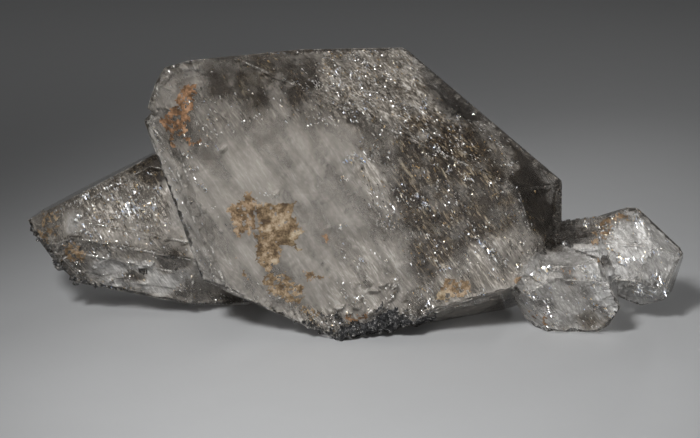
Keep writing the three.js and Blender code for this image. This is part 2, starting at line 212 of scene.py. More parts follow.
# Large cracks that cross the crystals come in swarms of bent sheets. Each swarm has its middle
# and how far its sheets are spread round it, how many there are, the way they face and how far
# they wander from that in degrees, their least and largest half width, and how far their rims
# bend. All sizes are in mm.
SWARMS = [
    {"middle": (0, 2, 30), "spread": (26, 12, 16), "sheets": 12, "facing": (0.2, 0.5, 0.8),
     "wander": 70, "half": (7, 15), "bend": 4},
    {"middle": (-47, 8, 17), "spread": (10, 6, 6), "sheets": 6, "facing": (0.1, 0.7, -0.4),
     "wander": 70, "half": (5, 10), "bend": 2},
    {"middle": (43, -13, 9), "spread": (4, 3, 3), "sheets": 4, "facing": (0.1, -0.9, 0.3),
     "wander": 60, "half": (3, 6), "bend": 1},
    {"middle": (58, -6, 13), "spread": (3, 3, 4), "sheets": 4, "facing": (0.3, -0.8, 0.4),
     "wander": 60, "half": (3, 6), "bend": 1},
]
SHEET_VEIL = 0.45  # how dense the veil on a sheet is, from 0 to 1
SHEET_TONE = 0.3
SHEET_THREADS = 0.3
SHEET_RIM = 0.4  # the share of a sheet over which it thins out at its rim

# Chips: an edge is chipped if it is longer than this, in mm, and turns by more than this. Their
# white is partly painted highlight, for the bright lines along the crystals' edges. The strips
# that hold the chips lie this deep under the edge, in mm, in steps of this length.
CHIPPED_LENGTH = 1.2
CHIPPED_TURN = math.radians(22)
CHIP_DEPTH = 0.05
CHIP_STEP = 0.5
CHIP_RUNS = (2.5, 0.45, 1.4)  # how they come and go: the size in mm, the middle and the contrast
CHIP_FADE, CHIP_LEAST = 1.2, 0.1  # how fast they fade with the rock's tone, and the least left
BARE_STRIP = 0.4  # the share of its width that a strip has without chips

# Widths in mm of the squares of the sheets, films, crust beds and glint beds.
SHEET_STEP = 1.2
FILM_STEP = 0.16
CRUST_STEP = 0.25
GLINT_STEP = 0.3

# Patches are laid back on the rock from this y. Their rims are ragged over this width, and the
# last sizes are those of the rims' bends, the holes and the bumps, all in mm.
PATCH_FROM = -60
PATCH_RAGGED = 0.9
RAGGED_BENDS, HOLES, BUMPS = 1.1, 0.9, 0.5

# Films of clay on a front view: the share of rust in each, from tan to orange, how much of its
# outline it covers, and the outline.
FILMS = [
    (0.9, 0.72, (-32, 52, -29.6, 52, -29.7, 48, -31, 46, -31.4, 42.8, -33.5, 42.4, -36, 42.6,
    -37.6, 45, -35, 46.5, -34, 49)),
    (0.8, 0.6, (-34.8, 42, -34, 42, -34, 39.2, -34.6, 39.4)),
    (0.9, 0.6, (-32.4, 41.8, -28.2, 41.2, -28.2, 40.6, -31.4, 39.8)),
    (0.35, 0.85, (-20.2, 31.2, -18.4, 28.6, -18.8, 22, -19.2, 22.6, -22.4, 21.4, -24.6, 27, -21.4,
    29.4)),
    (0.2, 1.0, (-18.6, 28.6, -11, 28.6, -11.5, 26.4, -9.2, 21.6, -13.8, 20.2, -13.8, 16.6, -16.4,
    14.6, -18.8, 16, -18.8, 20)),
    (0.0, 1.0, (-13.5, 21.6, -12.6, 22.8, -10.6, 23.3, -9.5, 21.6, -10.7, 20.8, -9.9, 18.7, -10.6,
    18.4, -13, 20.4)),
    (0.2, 0.7, (-18.2, 13.8, -13.4, 14.4, -9.4, 11.4, -10, 7.2, -14, 9, -16.6, 10.4)),
    (0.3, 0.9, (-23.2, 17.8, -22.6, 17.2, -20.4, 12.8, -21, 13.2)),
    (0.3, 0.8, (-9.6, 14.4, -7.8, 14.4, -4.8, 13, -8.8, 12.4)),
    (0.7, 0.9, (-5.4, 23.4, -4.6, 23, -4.7, 20, -5.8, 20.4)),
    (0.1, 0.5, (-10.8, 8.2, -6.4, 6.4, -6.9, 4.2, -10.4, 5.2)),
    (0.0, 0.9, (16.6, 10.2, 18.4, 10.8, 19.6, 9.4, 18.2, 7.9, 16.4, 8.6)),
    (0.3, 0.7, (16.8, 11.2, 18.6, 13, 22.8, 12.8, 24.2, 11, 23.4, 9.2, 19.6, 9)),
    (0.2, 0.4, (-66, 19.2, -61.8, 22, -59.7, 21.6, -60.2, 18.1, -62.2, 15.7)),
    (0.3, 0.55, (-59, 16.2, -56.1, 17.7, -53.7, 15, -54.8, 12.6, -57.3, 12.4, -58.4, 13.4)),
    (0.4, 0.5, (47.8, 19.3, 50.1, 21.5, 54.4, 22.8, 56.5, 22.9, 52, 20.5, 49.6, 17.2, 47.9,
    15.9)),
    (0.8, 0.6, (-1.6, 5, 1.8, 5.6, 5.6, 5.2, 4.7, 4, 1.7, 4.2, -0.2, 3.9)),
    (0.4, 0.5, (31.6, 13, 32.7, 13.9, 34.8, 11.6, 33.7, 10.2)),
    (0.8, 0.35, (40.7, 15.3, 43.4, 15.7, 44.5, 13.9, 42.2, 13.5)),
    (0.7, 0.4, (35.1, 4.6, 38.2, 4.8, 40.6, 2.5, 37.6, 1.8)),
]
FILM_LIFT = 0.4  # how high the films stand, as a share of their thickness

# The crust of black grains on a front view: how crowded it is, and its outline.
CRUSTS = [
    (1.0, (-2.5, 3, 3, 4.4, 8.5, 7.4, 11, 5.2, 17, 3.6, 17, 1, 4, 0.1, -4, 0.1)),
    (0.25, (-13, 6.8, -6, 6.2, -2, 5.5, 6, 8.4, 17, 5.4, 17, 3, 14, 0.5, -6, 0.8, -10, 2.6)),
    (0.5, (-63, 15.7, -59.8, 12.3, -57, 8.9, -54.5, 8.4, -50, 6.5, -50, 4, -57, 5, -65, 12)),
]
CRUST_LIFT = 0.05  # how high in mm the crust's black film stands, and how thick it is
CRUST_FILM = 0.08
CRUST_SEED = 11

# The spot lamps: where each stands and where it is aimed at, in mm, how wide its cone is in
# degrees, and the radius of its bulb in mm. The soft box has its place, its aim and its width.
SPOTS = {
    "key": ((-85, -235, 215), (22, -8, 0), 52, 22),
    "fill": ((210, -260, 26), (40, 0, 16), 30, 40),
    "rear": ((190, 400, 110), (0, 0, 30), 26, 30),
}
SOFT_BOX = ((60, 360, 340), (20, 170, 0), 140)
CAMERA_PLACE = (-0.5, -338.7, 110.6)  # in mm, as are the next four
SENSOR = 36
LENS = 87.43
NEAREST = 10
FLOOR_HALF = 2500
CAMERA_TILT = math.radians(75)  # 15 degrees down from the level


def linear(hex_colour):
    """The linear red, green, blue and alpha of an sRGB colour such as #a49f97."""
    channels = [int(hex_colour[k:k + 2], 16) / 255 for k in (1, 3, 5)]
    return (*[c / 12.92 if c <= 0.04045 else ((c + 0.055) / 1.055) ** 2.4 for c in channels], 1)


def colour_property(name, description, hex_colour):
    """A colour that a user can change."""
    return FloatVectorProperty(name=name, description=description, subtype="COLOR", size=3,
                               min=0, max=1, default=linear(hex_colour)[:3])


def length_property(name, description, millimetres):
    """A length that a user can change, given in mm."""
    return FloatProperty(name=name, description=description, default=millimetres * MM,
                         min=0, unit="LENGTH", subtype="DISTANCE", precision=5)


def number_property(name, description, number):
    """A number that a user can change."""
    return FloatProperty(name=name, description=description, default=number, min=0)


class RockProperties(PropertyGroup):
    """The clear crystal itself."""

    smoke: colour_property("Smoke", "Colour that thick rock takes", "#a8957c")
    smoke_depth: length_property("Smoke depth", "Thickness that darkens the rock", 24)
    worn_edge: length_property("Worn edge", "Radius of the worn crystal edges", 0.15)
    chip: length_property("Chips", "Width of the chipped strip beside a sharp edge", 0.3)
    relief: length_property("Relief", "Height of the growth relief on the faces", 0.05)


class CrackProperties(PropertyGroup):
    """The milk, the silver and the smoke in the cracks."""

    skin: length_property("Skin", "Clear rock left between the cracks and the faces", 0.12)
    grid: length_property("Grid", "Width of the squares that crack beds are made of", 0.9)
    flake: length_property("Flake", "Half length of the largest silvery flakes", 0.55)
    speck: length_property("Speck", "Half length of the largest smoky specks", 0.6)
    silver_per_mm2: number_property("Silvery flakes", "Flakes on each mm2", 5.0)
    smoke_per_mm2: number_property("Smoky specks", "Specks on each mm2", 4.0)
    glints_per_mm2: number_property("Glints", "Bright flakes on each mm2", 4.0)
    seed: IntProperty(name="Seed", description="Choice of random places", default=7, min=1)


class FilmProperties(PropertyGroup):
    """The films of clay and the crust of grains on the crystal."""

    thickness: length_property("Thickness", "Thickness of the clay films", 0.08)
    grain: length_property("Grain", "Half width of the largest crust grains", 0.24)
    grains_per_mm2: number_property("Grains", "Crust grains on each mm2", 7)


class StageProperties(PropertyGroup):
    """The floor, the lamps and the camera."""

    paper: colour_property("Paper", "Colour of the floor", "#c8c9ca")
    key_power: number_property("Key light", "Power of the key light in watts", 3.2)
    top_power: number_property("Top light", "Power of the top light in watts", 0.08)
    fill_power: number_property("Fill light", "Power of the fill light in watts", 1.0)
    rear_power: number_property("Rear light", "Power of the rear light in watts", 1.2)
    room: colour_property("Room", "Light of the room", "#4e4e4e")


def node(tree, kind, inputs=None, stops=(), **settings):
    """Adds a node with its settings. An input is a value, a socket that it is linked to, or a
    node that it takes the first output of. Stops are the places and colours of a colour ramp,
    first and last at 0 and 1."""
    made = tree.nodes.new(kind)
    for name, value in settings.items():
        setattr(made, name, value)
    for name, value in (inputs or {}).items():
        if isinstance(value, bpy.types.Node):
            value = next(socket for socket in value.outputs if socket.enabled)
        if isinstance(value, bpy.types.NodeSocket):
            tree.links.new(value, made.inputs[name])
        else:
            made.inputs[name].default_value = value
    for place, colour in stops:
        ramp = made.color_ramp.elements
        stop = ramp[-int(place)] if place in (0, 1) else ramp.new(place)
        stop.color = linear(colour)
    return made


def per(millimetres):
    """The scale that gives a pattern on Object coordinates that size."""
    return 1 / (millimetres * MM)


def rgba(colour):
    """A colour with its alpha."""
    return (*colour, 1)


def clamped(value, least=0):
    """A value, or the least or 1 where it is beyond them."""
    return max(least, min(1, value))


# Shapes


def mesh_of(name, bm):
    """What bm holds, as a mesh. bm is then freed."""
    mesh = bpy.data.meshes.new(name)
    bm.to_mesh(mesh)
    bm.free()
    return mesh


def opened(mesh):
    """A mesh opened for changes."""
    bm = bmesh.new()
    bm.from_mesh(mesh)
    return bm


def rock_mesh():
    """The solid's triangles joined at their corners."""
    bm = opened(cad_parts[SOLID].data)
    bmesh.ops.remove_doubles(bm, verts=bm.verts, dist=0.0001 * MM)
    return mesh_of("rock_crystal", bm)


def rock_tree():
    """The rock's surface, for finding what lies on it and in it."""
    bm = opened(rock_mesh())
    tree = BVHTree.FromBMesh(bm)
    bm.free()
    return tree


def depth_inside(tree, point):
    """How deep a point lies in the rock, or less than 0 outside it."""
    place, normal, _, distance = tree.find_nearest(point)
    return distance if (point - place).dot(normal) < 0 else -distance


def holder_of(name, data):
    """An object in the scene that holds a mesh, a lamp or a camera."""
    holder = bpy.data.objects.new(name, data)
    bpy.context.scene.collection.objects.link(holder)
    return holder


def finished_mesh(holder):
    """A holder's mesh with its modifiers applied. The holder is then gone."""
    evaluated = holder.evaluated_get(bpy.context.evaluated_depsgraph_get())
    mesh = bpy.data.meshes.new_from_object(evaluated)
    mesh.name = holder.name
    bpy.data.objects.remove(holder)
    return mesh


def even_rock(square):
    """The rock's surface as an even net of small squares."""
    holder = holder_of("even_rock", rock_mesh())
    net = holder.modifiers.new("net", "REMESH")
    net.mode = "VOXEL"
    net.voxel_size = square
    return finished_mesh(holder)


def add_piece(name, mesh, material):
    """Makes a mesh a piece of the object, which rides on its body."""
    if not mesh.polygons:
        raise RuntimeError(f"{name} came out empty")
    piece = holder_of(name, mesh)
    mesh.materials.clear()
    mesh.materials.append(material)
    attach(piece, BODY)
    return piece


def beside(start, end, x, z):
    """How far points lie from the line between two places."""
    dx, dz = end[0] - start[0], end[1] - start[1]
    share = np.clip(((x - start[0]) * dx + (z - start[1]) * dz) / (dx * dx + dz * dz), 0, 1)
    return np.hypot(x - start[0] - share * dx, z - start[1] - share * dz)


def inside_by(outline, x, z):
    """How far points lie inside an outline, or less than 0 outside it."""
    corners = list(zip(outline[::2], outline[1::2]))
    nearest, inside = np.inf, np.zeros(np.shape(x), bool)
    for start, end in zip(corners, corners[1:] + corners[:1]):
        nearest = np.minimum(nearest, beside(start, end, x, z))
        if end[1] != start[1]:
            crossing = start[0] + (end[0] - start[0]) * (z - start[1]) / (end[1] - start[1])
            inside ^= ((start[1] > z) != (end[1] > z)) & (x < crossing)
    return np.where(inside, nearest, -nearest)


def front_share(kind, x, z):
    """How much of a kind the cracks at points of a front view hold."""
    share = np.full(np.shape(x), PLAIN_FRONT[kind])
    for *held, rim, outline in ZONES.values():
        inside = np.clip(0.5 + inside_by(outline, x, z) / rim, 0, 1)
        share += (held[KINDS.index(kind)] - share) * inside
    return share


def numbers(items, name):
    """A property of three numbers that each item has, as an array of rows."""
    rows = np.empty(3 * len(items))
    items.foreach_get(name, rows)
    return rows.reshape(-1, 3)


def crowd(kind, net):
    """How much of a kind the cracks under each corner of the net hold."""
    places = numbers(net.vertices, "co") / MM
    noise.seed_set(WANDER_SEED)
    wander = [noise.noise_vector(Vector(place) / RIM_BENDS)[:] for place in places.tolist()]
    x, y, z = (places + RIM_WANDER * np.array(wander)).T
    share = front_share(kind, x, z)
    behind = np.clip((numbers(net.vertices, "normal")[:, 1] - 0.1) / 0.4, 0, 1)
    share += (PLAIN_BACK[kind] - share) * behind
    return share


def cloud(place, kind, shift):
    """The cloudy pattern of a kind from 0 to 1, drawn out along the cracks' run."""
    size, middle, contrast = CLOUDS[kind]
    along = TO_RUN @ place
    stretched = Vector((along.x / 3, along.y / 1.5, along.z)) / size
    wisps = noise.fractal(stretched + shift, 0.7, 2.1, 4)
    banks = noise.noise(stretched / 4 - shift)
    return clamped(middle + contrast * (wisps + 0.4 * banks))


def add_beds(bm, layers, tree, net, kind, skin):
    """Lays beds of cracks of a kind under the faces, with the squares of a net that follows the
    rock's surface. They rise at the edges."""
    wave_size, wave_height = BED_WAVES
    shares, tones, threads = (crowd(name, net) for name in (kind, "tone", "silver"))
    for depth in DEPTHS[kind]:
        shift = Vector((depth, 7.1 * depth, 3.3 * depth))
        corners = {}
        for corner in net.vertices:
            share = shares[corner.index]
            if share < LEAST_SHARE:
                continue
            surface, facing, _, _ = tree.find_nearest(corner.co)
            flat = clamped((corner.normal.dot(facing) - FLAT_FROM) / FLAT_RANGE)
            wave = 1 + wave_height * noise.noise(corner.co / (wave_size * MM) + shift)
            place = surface - corner.normal * (EDGE_SKINS * skin + flat * depth * wave * MM)
            thick = share * cloud(place / MM, kind, shift)
            if thick > 0 and depth_inside(tree, place) > LEAST_SKINS * skin:
                made = bm.verts.new(place)
                made[layers["thin"]] = thick
                made[layers["tone"]] = tones[corner.index]
                made[layers["thready"]] = THREADS * threads[corner.index]
                corners[corner.index] = made
        for square in net.polygons:
            ring = [corners.get(k) for k in square.vertices]
            if all(ring):
                bm.faces.new(ring)


def join_squares(bm, corners, longest=math.inf):
    """Makes a face of each square of a grid that has all its corners, none of them too far
    from another."""
    for i, j in corners:
        square = [corners.get(key) for key in ((i, j), (i + 1, j), (i + 1, j + 1), (i, j + 1))]
        if all(square) and max((a.co - b.co).length for a in square for b in square) < longest:
            bm.faces.new(square)


def turned(facing, wander, chance):
    """A direction that wanders by up to some degrees from the way a swarm faces."""
    tilt = Euler([math.radians(chance.uniform(-wander, wander)) for _ in range(3)])
    direction = Vector(facing).normalized()
    direction.rotate(tilt)
    return direction


def add_sheet(bm, layers, tree, swarm, chance, skin):
    """Adds one bent sheet with a ragged rim. It thins out at its rim and near the faces."""
    middle = Vector([m + chance.uniform(-s, s) for m, s in zip(swarm["middle"], swarm["spread"])])
    facing = turned(swarm["facing"], swarm["wander"], chance)
    across = facing.orthogonal().normalized()
    along = facing.cross(across)
    half_long, half_wide = (chance.uniform(*swarm["half"]) for _ in range(2))
    bend = chance.uniform(-1, 1) * swarm["bend"]
    shift = Vector([chance.uniform(-50, 50) for _ in range(3)])
    rows, columns = (math.ceil(half / SHEET_STEP) for half in (half_long, half_wide))
    corners = {}
    for i in range(-rows, rows + 1):
        for j in range(-columns, columns + 1):
            u, v = i / rows, j / columns
            flat = middle + across * (u * half_long) + along * (v * half_wide)
            ripple = noise.noise(flat / 6 + shift) * swarm["bend"] * 0.6
            place = (flat + facing * (bend * (u * u + v * v) + ripple)) * MM
            ragged = 0.75 + 0.5 * noise.noise(flat / 4 - shift)
            rim = ragged - math.hypot(u, v)
            if rim <= 0:
                continue
            depth = depth_inside(tree, place)
            if depth > skin:
                corner = bm.verts.new(place)
                thick = min(1, rim / SHEET_RIM, (depth - skin) / (2 * MM) + 0.2)
                corner[layers["thin"]] = SHEET_VEIL * thick
                corner[layers["tone"]] = SHEET_TONE
                corner[layers["thready"]] = SHEET_THREADS
                corners[i, j] = corner
    join_squares(bm, corners)


def crack_mesh(name, kind, cracks, swarms=()):
    """Beds of cracks of a kind, and the swarms that cross the rock, as one mesh. Each corner
    stores how thick they are there as thin, their tone, and how thready they are."""
    chance = random.Random(cracks.seed)
    tree = rock_tree()
    bm = bmesh.new()
    layers = {layer: bm.verts.layers.float.new(layer) for layer in ("thin", "tone", "thready")}
    add_beds(bm, layers, tree, even_rock(cracks.grid), kind, cracks.skin)
    for swarm in swarms:
        for _ in range(swarm["sheets"]):
            add_sheet(bm, layers, tree, swarm, chance, cracks.skin)
    loose = [corner for corner in bm.verts if not corner.link_faces]
    bmesh.ops.delete(bm, geom=loose, context="VERTS")
    return mesh_of(name, bm)


def add_patch(bm, tree, outline, cover, step, lift, values):
    """Lays a patch with a ragged rim and holes on the rock, where a front view of it has the
    outline. Each layer takes the value that is paired with it."""
    bare = 0.35 - 1.1 * cover
    columns, rows = (range(int(min(side) / step) - 8, int(max(side) / step) + 9)
                     for side in (outline[::2], outline[1::2]))
    cells = np.array([(i, j) for i in columns for j in rows])
    within = inside_by(outline, cells[:, 0] * step, cells[:, 1] * step)
    corners = {}
    for (i, j), inner in zip(cells.tolist(), within):
        if inner < -PATCH_RAGGED:
            continue
        x, z = i * step, j * step
        wander = noise.fractal(Vector((x, 3.7, z)) / RAGGED_BENDS, 0.7, 2.1, 5)
        holes = noise.fractal(Vector((x, 9.1, z)) / HOLES, 0.6, 2.2, 5)
        if inner + PATCH_RAGGED * wander < 0 or holes < bare:
            continue
        place, normal, _, _ = tree.ray_cast(Vector((x, PATCH_FROM, z)) * MM, Vector((0, 1, 0)))
        if place is None:
            continue
        bump = 0.6 + 0.6 * noise.fractal(Vector((x, 1.3, z)) / BUMPS, 0.6, 2.2, 4)
        corner = bm.verts.new(place + normal * lift * max(0.2, bump))
        for layer, value in values:
            corner[layer] = value
        corners[i, j] = corner
    join_squares(bm, corners, 4 * step * MM)


def add_chips_and_highlights(bm, thin, edge, width):
    """Lays narrow strips of chips under a sharp edge, one on each side. They come and go, and
    are thin where the rock is smoky. Their white is partly painted highlight along the edge."""
    size, share, contrast = CHIP_RUNS
    start, end = (corner.co for corner in edge.verts)
    x, _, z = (start + end) / (2 * MM)
    tone = front_share("tone", np.array([x]), np.array([z]))[0]
    clear = clamped(1 - CHIP_FADE * tone, CHIP_LEAST)
    middle = sum((face.normal for face in edge.link_faces), Vector()).normalized()
    steps = math.ceil(edge.calc_length() / (CHIP_STEP * MM))
    for face in edge.link_faces:
        across = face.normal.cross(end - start).normalized()
        if across.dot(face.calc_center_median() - start) < 0:
            across.negate()
        rungs = []
        for k in range(steps + 1):
            along = start.lerp(end, k / steps)
            worn = clear * clamped(share + contrast * noise.noise(along / (size * MM)))
            rim = along + across * width * (BARE_STRIP + worn)
            inner = bm.verts.new(along - middle * CHIP_DEPTH * MM)
            outer = bm.verts.new(rim - face.normal * CHIP_DEPTH * MM)
            inner[thin] = worn
            rungs.append((inner, outer))
        for (a, b), (c, d) in zip(rungs, rungs[1:]):
            strip = bm.faces.new((a, b, d, c))
            strip.normal_update()
            if strip.normal.dot(face.normal) < 0:
                strip.normal_flip()


def film_of(name, bm, thickness):
    """The patches in bm, which is freed, as films of a thickness."""
    holder = holder_of(name, mesh_of(name, bm))
    wall = holder.modifiers.new("thickness", "SOLIDIFY")
    wall.thickness = thickness
    wall.offset = -1
    return finished_mesh(holder)


# Geometry Nodes


SCATTER_INPUTS = {
    "Surface": "Geometry", "Per Square Metre": "Float", "Smallest": "Vector",
    "Largest": "Vector", "Towards": "Vector", "Fixed": "Float", "Run": "Vector",
    "Sway": "Vector", "Seed": "Int", "Finish": "Material",
}


def scatter_tree(name, shape_kind, shape_inputs):
    """A tree that scatters many small copies of one shape over a mesh, where it is thick."""
    tree = bpy.data.node_groups.new(name, "GeometryNodeTree")
    for label, kind in SCATTER_INPUTS.items():
        tree.interface.new_socket(label, in_out="INPUT", socket_type="NodeSocket" + kind)
    tree.interface.new_socket("Pieces", in_out="OUTPUT", socket_type="NodeSocketGeometry")
    given = node(tree, "NodeGroupInput").outputs
    thin, long = (node(tree, "GeometryNodeInputNamedAttribute", {"Name": layer}, data_type="FLOAT")
                  for layer in ("thin", "long"))
    crowded = node(tree, "ShaderNodeMath", {0: given["Per Square Metre"], 1: thin},
                   operation="MULTIPLY")
    places = node(tree, "GeometryNodeDistributePointsOnFaces", {
        "Mesh": given["Surface"], "Density": crowded, "Seed": given["Seed"]})
    facing = node(tree, "ShaderNodeVectorMath", {
        0: given["Towards"], 1: node(tree, "GeometryNodeInputPosition")}, operation="SUBTRACT")
    faced = node(tree, "FunctionNodeAlignRotationToVector", {
        "Rotation": places.outputs["Rotation"], "Factor": given["Fixed"], "Vector": facing},
        axis="Z")
    lined = node(tree, "FunctionNodeAlignRotationToVector", {
        "Rotation": faced, "Vector": given["Run"]}, axis="X", pivot_axis="Z")
    back = node(tree, "ShaderNodeVectorMath", {0: given["Sway"], "Scale": -1.0},
                operation="SCALE")
    lean, size = (
        node(tree, "FunctionNodeRandomValue", {
            "Min": least, "Max": most, "Seed": given["Seed"]}, data_type="FLOAT_VECTOR")
        for least, most in ((back, given["Sway"]), (given["Smallest"], given["Largest"])))
    turn = node(tree, "FunctionNodeRotateRotation", {
        "Rotation": lined, "Rotate By": node(tree, "FunctionNodeEulerToRotation", {"Euler": lean})},
        rotation_space="LOCAL")
    scaled = node(tree, "ShaderNodeVectorMath", {0: size, "Scale": long}, operation="SCALE")
    copies = node(tree, "GeometryNodeInstanceOnPoints", {
        "Points": places, "Instance": node(tree, shape_kind, shape_inputs), "Rotation": turn,
        "Scale": scaled})
    real = node(tree, "GeometryNodeRealizeInstances", {"Geometry": copies})
    dressed = node(tree, "GeometryNodeSetMaterial", {"Geometry": real, "Material": given["Finish"]})
    node(tree, "NodeGroupOutput", {"Pieces": dressed})
    return tree


def flake_tree():
    """Flat three-cornered flakes."""
    return scatter_tree("crack_flakes", "GeometryNodeMeshCone", {
        "Vertices": 3, "Radius Top": 0.0, "Radius Bottom": 1.0, "Depth": 1.0})


def grain_tree():
    """Rounded crust grains."""
    return scatter_tree("crust_grains", "GeometryNodeMeshIcoSphere", {
        "Radius": 1.0, "Subdivisions": 1})


def set_long(surface, long):
    """Stores the largest half length of what grows on a surface."""
    layer = surface.attributes.new("long", "FLOAT", "POINT")
    layer.data.foreach_set("value", [long] * len(surface.vertices))


def add_scattered(name, surface, tree, finish, per_mm2, values):
    """Adds a piece of what a scatter tree grows on a surface."""
    values = {"Per Square Metre": per_mm2 / MM ** 2, "Run": RUN, "Finish": finish, **values}
    holder = holder_of(name, surface)
    modifier = holder.modifiers.new(name, "NODES")
    modifier.node_group = tree
    for socket in tree.interface.items_tree:
        if socket.in_out == "INPUT" and socket.name in values:
            modifier[socket.identifier] = values[socket.name]
    add_piece(name, finished_mesh(holder), finish)


def add_flakes(name, surface, finish, per_mm2, sway, seed, fixed):
    """Adds a piece of flat flakes along the cracks' run. Sway is how far each turns about its own
    axes, in degrees. Where fixed is 1 they face the glints' place, and at 0 as the surface."""
    add_scattered(name, surface, flake_tree(), finish, per_mm2, {
        "Seed": seed, "Towards": Vector(GLINT_TOWARDS) * MM, "Fixed": fixed,
        "Smallest": (0.2, 0.15, 0.05), "Largest": (1.0, 0.4, 0.16),
        "Sway": tuple(math.radians(turn) for turn in sway)})


# Finishes


def new_material(name):
    """An empty material, its node tree, and the Object coordinates in it."""
    material = bpy.data.materials.new(name)
    material.use_nodes = True
    tree = material.node_tree
    tree.nodes.clear()
    return material, tree, node(tree, "ShaderNodeTexCoord").outputs["Object"]


def finished(material, inputs):
    """A material, which is given a surface with these inputs."""
    tree = material.node_tree
    surface = node(tree, "ShaderNodeBsdfPrincipled", inputs)
    node(tree, "ShaderNodeOutputMaterial", {"Surface": surface})
    return material


def mottled(tree, place, size, detail, roughness, *ramps):
    """A mottle of a size in mm, and the colours that each ramp gives it."""
    mottle = node(tree, "ShaderNodeTexNoise", {
        "Vector": place, "Scale": per(size), "Detail": detail, "Roughness": roughness})
    return mottle, *(node(tree, "ShaderNodeValToRGB", {"Fac": mottle}, stops=stops)
                     for stops in ramps)


def grainy(name, size, stops, inputs):
    """A material whose colour jumps from grain to grain, of a size in mm."""
    material, tree, place = new_material(name)
    cells = node(tree, "ShaderNodeTexVoronoi", {"Vector": place, "Scale": per(size)})
    colour = node(tree, "ShaderNodeValToRGB", {"Fac": cells.outputs["Color"]}, stops=stops)
    return finished(material, {"Base Color": colour, **inputs})


def rock_crystal(settings):
    """Smoky rock crystal, faces as grown: clear glassy quartz with a faint growth relief, frosted
    patches and worn edges. Its shadow is light, as of rock that gathers the light it bends."""
    material, tree, place = new_material("smoky_rock_crystal")
    swells = node(tree, "ShaderNodeTexNoise", {
        "Vector": place, "Scale": per(4), "Detail": 5.0, "Roughness": 0.6, "Distortion": 0.4})
    patches, = mottled(tree, place, 14, 6.0, 0.7)
    frosted = node(tree, "ShaderNodeMapRange", {
        "Value": patches, "From Min": 0.52, "From Max": 0.75, "To Min": 0.02, "To Max": 0.3})
    worn = node(tree, "ShaderNodeBevel", {"Radius": settings.worn_edge}, samples=4)
    relief = node(tree, "ShaderNodeBump", {
        "Strength": 1.0, "Distance": settings.relief, "Height": swells, "Normal": worn})
    quartz = node(tree, "ShaderNodeBsdfPrincipled", {
        "Base Color": linear("#ffffff"), "Roughness": frosted, "IOR": 1.544,
        "Transmission Weight": 1.0, "Normal": relief})
    rays = node(tree, "ShaderNodeLightPath")
    lit = node(tree, "ShaderNodeBsdfTransparent", {"Color": (0.8, 0.8, 0.8, 1)})
    surface = node(tree, "ShaderNodeMixShader", {
        0: rays.outputs["Is Shadow Ray"], 1: quartz, 2: lit})
    smoke = node(tree, "ShaderNodeVolumeAbsorption", {
        "Color": rgba(settings.smoke), "Density": 1 / settings.smoke_depth})
    node(tree, "ShaderNodeOutputMaterial", {"Surface": surface, "Volume": smoke})
    return material


def streaks(tree, place, size, bend):
    """Noise of a size in mm, drawn out along the cracks' run and bent."""
    along = node(tree, "ShaderNodeMapping", {
        "Vector": place, "Rotation": (0, CRACK_RUN, 0),
        "Scale": (5 * size * MM, 2 * size * MM, size * MM)}, vector_type="TEXTURE")
    return node(tree, "ShaderNodeTexNoise", {
        "Vector": along, "Scale": 1.0, "Detail": 3.0, "Roughness": 0.6, "Distortion": bend})


# The colours of the veils, from between their feathers to the feathers' tips.
VEIL_RAMPS = {
    "dull milk": [(0, "#8e8a83"), (0.5, "#959089"), (0.7, "#9b968f"), (1, "#b0aca5")],
    "bright milk": [(0, "#3d362e"), (0.32, "#645d53"), (0.5, "#908a81"), (0.62, "#bdb7ae"),
                    (0.76, "#eae6df"), (1, "#ffffff")],
    "bright smoke": [(0, "#1b120a"), (0.4, "#32271b"), (0.54, "#534635"), (0.66, "#8f7f67"),
                     (0.8, "#d5c8b0"), (1, "#f3e8d2")],
    "pale": [(0, "#aaa9a7"), (0.42, "#c2c1bf"), (0.6, "#e4e3e1"), (0.75, "#ffffff"),
             (1, "#ffffff")],
}


def milky_veil():
    """A healed crack full of tiny bubbles: a haze from white through grey to smoky brown, with
    bright threads along the cracks' run where it is thready. In a few zones its near-black tone
    is painted shade and its pale tone is painted light."""
    material, tree, place = new_material("milky_healed_crack")
    thin, tone, share = (
        node(tree, "ShaderNodeAttribute", attribute_name=name).outputs["Fac"]
        for name in ("thin", "tone", "thready"))
    both = node(tree, "ShaderNodeMath", {
        0: streaks(tree, place, 0.3, 0.5), 1: streaks(tree, place, 1.1, 1.2)}, operation="ADD")
    banks, = mottled(tree, place, 4, 5.0, 0.65)
    feathers, tufts, patchy, haze = (
        node(tree, "ShaderNodeMapRange", {
            "Value": value, "From Min": low, "From Max": high, "To Min": least, "To Max": most})
        for value, low, high, least, most in (
            (both, 0.6, 1.4, 0.0, 1.0), (banks, 0.35, 0.65, 0.4, 1.4),
            (banks, 0.3, 0.7, 0.2, 1.8), (streaks(tree, place, 2, 0.5), 0.3, 0.6, 0.7, 1.1)))
    thready, browner, paler, dense = (
        node(tree, "ShaderNodeMath", {0: a, 1: b}, operation="MULTIPLY", use_clamp=True)
        for a, b in ((share, tufts), (patchy, tone), (tone, -1.0), (haze, thin)))
    colours = {name: node(tree, "ShaderNodeValToRGB", {"Fac": feathers}, stops=stops)
               for name, stops in VEIL_RAMPS.items()}
    colours["deep smoke"] = linear("#211b14")
    for name, factor, under, over in (
            ("milk", thready, "dull milk", "bright milk"),
            ("smoke", thready, "deep smoke", "bright smoke"),
            ("smoky milk", browner, "milk", "smoke"), ("veil", paler, "smoky milk", "pale")):
        colours[name] = node(tree, "ShaderNodeMix", {
            "Factor": factor, 6: colours[under], 7: colours[over]}, data_type="RGBA")
    return finished(material, {"Base Color": colours["veil"], "Roughness": 0.7, "Alpha": dense})


